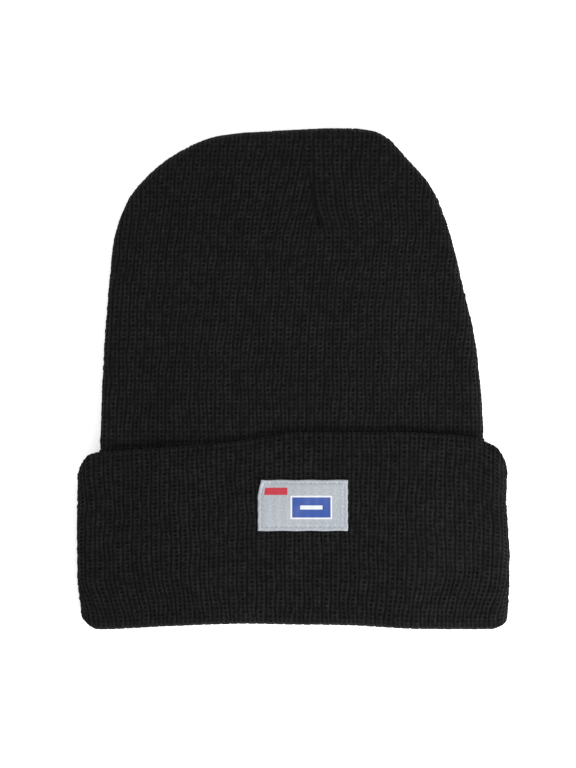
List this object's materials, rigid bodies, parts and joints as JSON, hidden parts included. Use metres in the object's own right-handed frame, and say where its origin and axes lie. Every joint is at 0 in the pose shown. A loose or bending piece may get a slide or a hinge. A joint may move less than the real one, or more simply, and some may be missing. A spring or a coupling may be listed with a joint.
{
  "type": "knit watch cap",
  "caption": "Rib-knit watch cap lying flat on its back, with a darted crown, a deep turned-up cuff and a plain sewn-on cloth label.",
  "frame": {"origin": "on the surface that the cap rests on, under the middle of its outline", "axes": "+Z out of the front of the cap, away from the surface it lies on; +Y towards the top of the crown, so the opening faces -Y; +X to the right of the front as seen"},
  "size_m": [0.2155, 0.2505, 0.024],
  "materials": {
    "knit": "matt black acrylic rib knit, soft sheen on the crests of the ribs",
    "label_cloth": "silver-grey woven satin with a plain printed device"
  },
  "bodies": {
    "root": {"crown": "knit", "cuff": "knit", "label": "label_cloth"}
  },
  "joints": []
}
